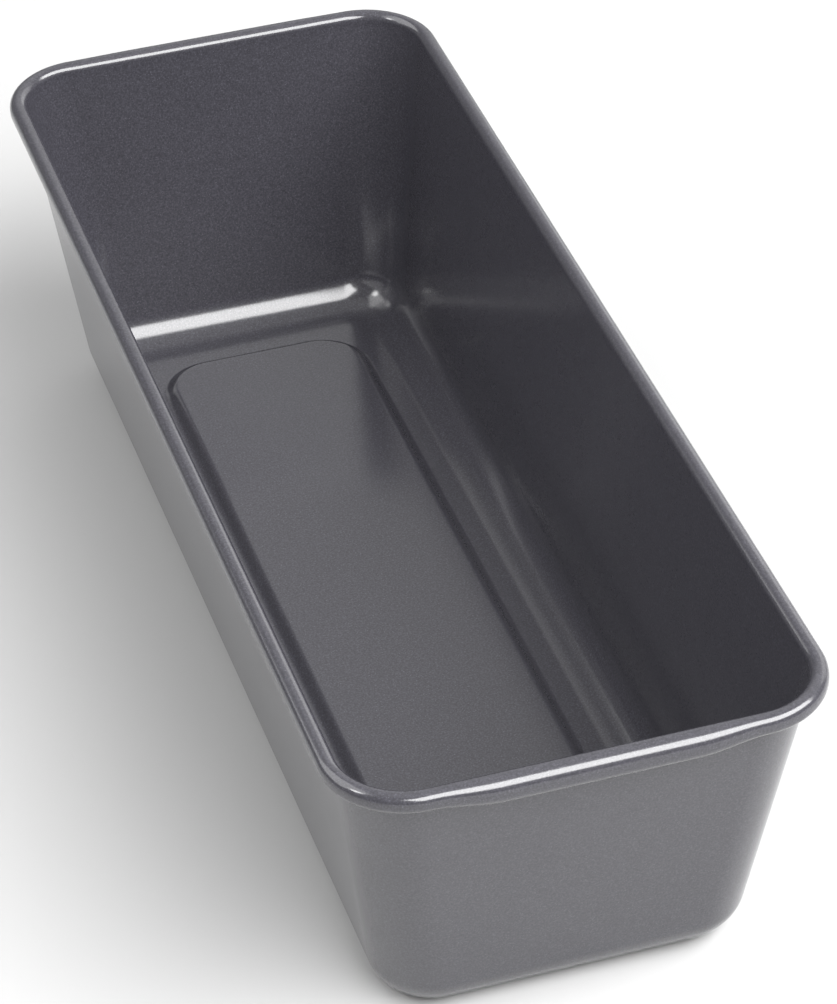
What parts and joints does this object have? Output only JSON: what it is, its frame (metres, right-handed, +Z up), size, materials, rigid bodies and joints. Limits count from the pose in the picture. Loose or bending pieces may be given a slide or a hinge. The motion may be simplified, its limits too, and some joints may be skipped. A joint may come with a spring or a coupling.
{
  "type": "loaf pan",
  "caption": "Long, tapered loaf pan in dark grey enamelled steel, with round corners, a raised floor panel and a wire-cored rolled rim.",
  "frame": {"origin": "under the middle of the pan, on the plane it rests on", "axes": "+Z up; Y along the pan's length; X across its width"},
  "size_m": [0.1098, 0.3018, 0.0771],
  "materials": {
    "enamel": "glossy dark grey enamel with a fine light speckle and a faint orange-peel ripple",
    "wire": "plain drawn steel wire, unpolished"
  },
  "bodies": {
    "root": {"pan_shell": "enamel", "rim_wire": "wire"}
  },
  "joints": []
}
